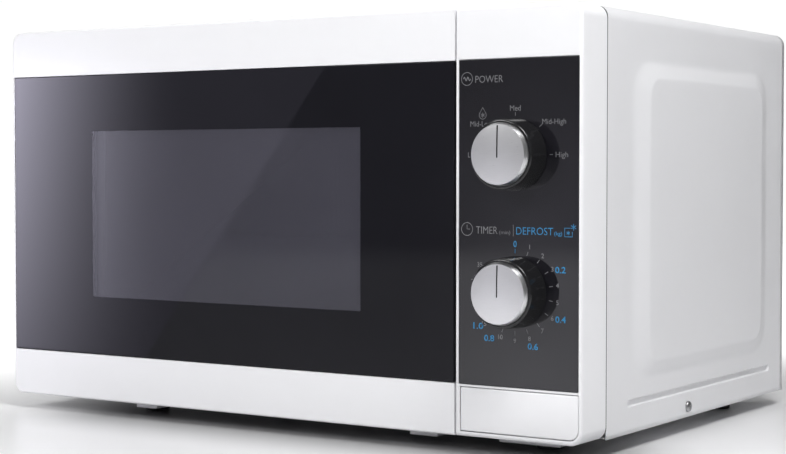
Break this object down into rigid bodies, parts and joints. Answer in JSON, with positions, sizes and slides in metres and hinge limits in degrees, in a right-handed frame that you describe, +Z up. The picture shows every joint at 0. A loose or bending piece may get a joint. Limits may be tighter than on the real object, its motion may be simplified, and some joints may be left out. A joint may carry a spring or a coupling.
{
  "type": "microwave oven",
  "caption": "Countertop microwave oven with a side-hinged black glass door, rotary power and timer knobs, a push panel that opens the door and a glass turntable.",
  "frame": {"origin": "centre of the oven's footprint, on the surface that its feet stand on", "axes": "+X to the oven's right as seen from its front, which is its longest extent; +Y from the front to the back; +Z up, its shortest extent"},
  "size_m": [0.446, 0.33, 0.258],
  "materials": {
    "white_painted_steel": "satin white powder coat",
    "white_plastic": "white, half gloss",
    "latch_plastic": "natural white",
    "galvanised_steel": "zinc coated, dull",
    "foot_rubber": "matt",
    "black_plastic": "matt black",
    "knob_black": "gloss black",
    "brushed_cap": "brushed silver with a bright rim",
    "cavity_paint": "light grey enamel",
    "mica": "silvery brown mica sheet",
    "bulb_glass": "clear",
    "tray_glass": "clear pressed glass",
    "clear_film": "clear plastic sheet",
    "grey_plastic": "matt grey",
    "choke_black": "black enamel",
    "screen_steel": "black, perforated",
    "door_glass_black": "black printed, gloss",
    "fascia_black": "gloss black with white and blue print",
    "aluminium": "plain",
    "core_steel": "varnished laminations",
    "copper": "enamelled copper wire",
    "circuit_board": "phenolic board"
  },
  "bodies": {
    "cabinet": {"outer_cover": "white_painted_steel", "rear_panel": "galvanised_steel", "base_plate": "galvanised_steel", "foot_front_left": "foot_rubber", "foot_front_right": "foot_rubber", "foot_rear_left": "foot_rubber", "foot_rear_right": "foot_rubber", "side_screw_left": "galvanised_steel", "side_screw_right": "galvanised_steel", "cord_gland": "black_plastic", "oven_cavity": "cavity_paint", "cavity_front_plate": "white_painted_steel", "waveguide": "galvanised_steel", "waveguide_cover": "mica", "lamp_holder": "galvanised_steel", "lamp_bulb": "bulb_glass", "lower_hinge": "galvanised_steel", "upper_hinge": "galvanised_steel", "control_panel_housing": "white_plastic", "control_panel_fascia": "fascia_black", "timer_unit": "grey_plastic", "power_selector": "grey_plastic", "latch_board": "latch_plastic", "primary_switch": "black_plastic", "monitor_switch": "black_plastic", "secondary_switch": "black_plastic", "magnetron_body": "galvanised_steel", "magnetron_antenna": "aluminium", "transformer_core": "core_steel", "primary_winding": "copper", "secondary_winding": "copper", "capacitor": "aluminium", "fan_shroud": "grey_plastic", "fan_motor": "galvanised_steel", "air_guide": "grey_plastic", "filter_board": "circuit_board", "turntable_motor": "galvanised_steel"},
    "door": {"door_frame": "white_plastic", "door_glass": "door_glass_black", "door_choke_frame": "choke_black", "door_screen": "screen_steel", "door_choke_cover": "grey_plastic", "door_inner_window": "clear_film", "latch_spring": "galvanised_steel"},
    "latch": {"door_latch": "grey_plastic"},
    "power_control": {"power_knob": "knob_black", "power_knob_cap": "brushed_cap", "power_shaft": "galvanised_steel"},
    "timer_control": {"timer_knob": "knob_black", "timer_knob_cap": "brushed_cap", "timer_shaft": "galvanised_steel"},
    "push_button": {"release_button": "white_plastic"},
    "lever": {"release_lever": "grey_plastic"},
    "fan": {"fan_wheel": "black_plastic"},
    "turntable": {"glass_tray": "tray_glass", "turntable_coupler": "grey_plastic"},
    "ring": {"roller_ring": "grey_plastic"},
    "wheel_1": {"roller_1": "grey_plastic"},
    "wheel_2": {"roller_2": "grey_plastic"},
    "wheel_3": {"roller_3": "grey_plastic"}
  },
  "joints": [
    {"name": "door_hinge", "type": "hinge", "parent": "cabinet", "child": "door", "pos_m": [-0.206, -0.1315, 0.133], "axis": [0, 0, -1], "range_deg": [0, 105]},
    {"name": "button_slide", "type": "slide", "parent": "cabinet", "child": "push_button", "axis": [0, 1, 0], "range_m": [0, 0.004], "stiffness_N_per_m": 400},
    {"name": "lever_turn", "type": "hinge", "parent": "cabinet", "child": "lever", "pos_m": [0.144, -0.108, 0.0435], "axis": [1, 0, 0], "range_deg": [0, 17]},
    {"name": "latch_slide", "type": "slide", "parent": "door", "child": "latch", "axis": [0, 0, 1], "range_m": [0, 0.0034], "deforming": ["latch_spring"]},
    {"name": "power_turn", "type": "hinge", "parent": "cabinet", "child": "power_control", "pos_m": [0.1774, -0.144, 0.173], "axis": [0, 1, 0], "range_deg": [-90, 90]},
    {"name": "timer_turn", "type": "hinge", "parent": "cabinet", "child": "timer_control", "pos_m": [0.1774, -0.144, 0.095], "axis": [0, 1, 0], "range_deg": [0, 320]},
    {"name": "fan_spin", "type": "hinge", "parent": "cabinet", "child": "fan", "pos_m": [0.168, 0.147, 0.178], "axis": [0, 1, 0], "continuous": true},
    {"name": "turntable_spin", "type": "hinge", "parent": "cabinet", "child": "turntable", "pos_m": [-0.0375, 0.01895, 0.0303], "axis": [0, 0, 1], "continuous": true},
    {"name": "ring_spin", "type": "hinge", "parent": "cabinet", "child": "ring", "pos_m": [-0.0375, 0.01895, 0.0373], "axis": [0, 0, 1], "continuous": true},
    {"name": "wheel_1_spin", "type": "hinge", "parent": "ring", "child": "wheel_1", "pos_m": [-0.0375, 0.11445, 0.0373], "axis": [0, 1, 0], "continuous": true},
    {"name": "wheel_2_spin", "type": "hinge", "parent": "ring", "child": "wheel_2", "pos_m": [-0.12021, -0.0288, 0.0373], "axis": [-0.866, -0.5, 0], "continuous": true},
    {"name": "wheel_3_spin", "type": "hinge", "parent": "ring", "child": "wheel_3", "pos_m": [0.04521, -0.0288, 0.0373], "axis": [0.866, -0.5, 0], "continuous": true}
  ],
  "couplings": [
    {"joint": "lever_turn", "follows": "button_slide", "rad_per_m": 69.8},
    {"joint": "latch_slide", "follows": "button_slide", "ratio": 0.8},
    {"joint": "ring_spin", "follows": "turntable_spin", "ratio": 0.5},
    {"joint": "wheel_1_spin", "follows": "turntable_spin", "ratio": -6.8214},
    {"joint": "wheel_2_spin", "follows": "turntable_spin", "ratio": -6.8214},
    {"joint": "wheel_3_spin", "follows": "turntable_spin", "ratio": -6.8214}
  ]
}
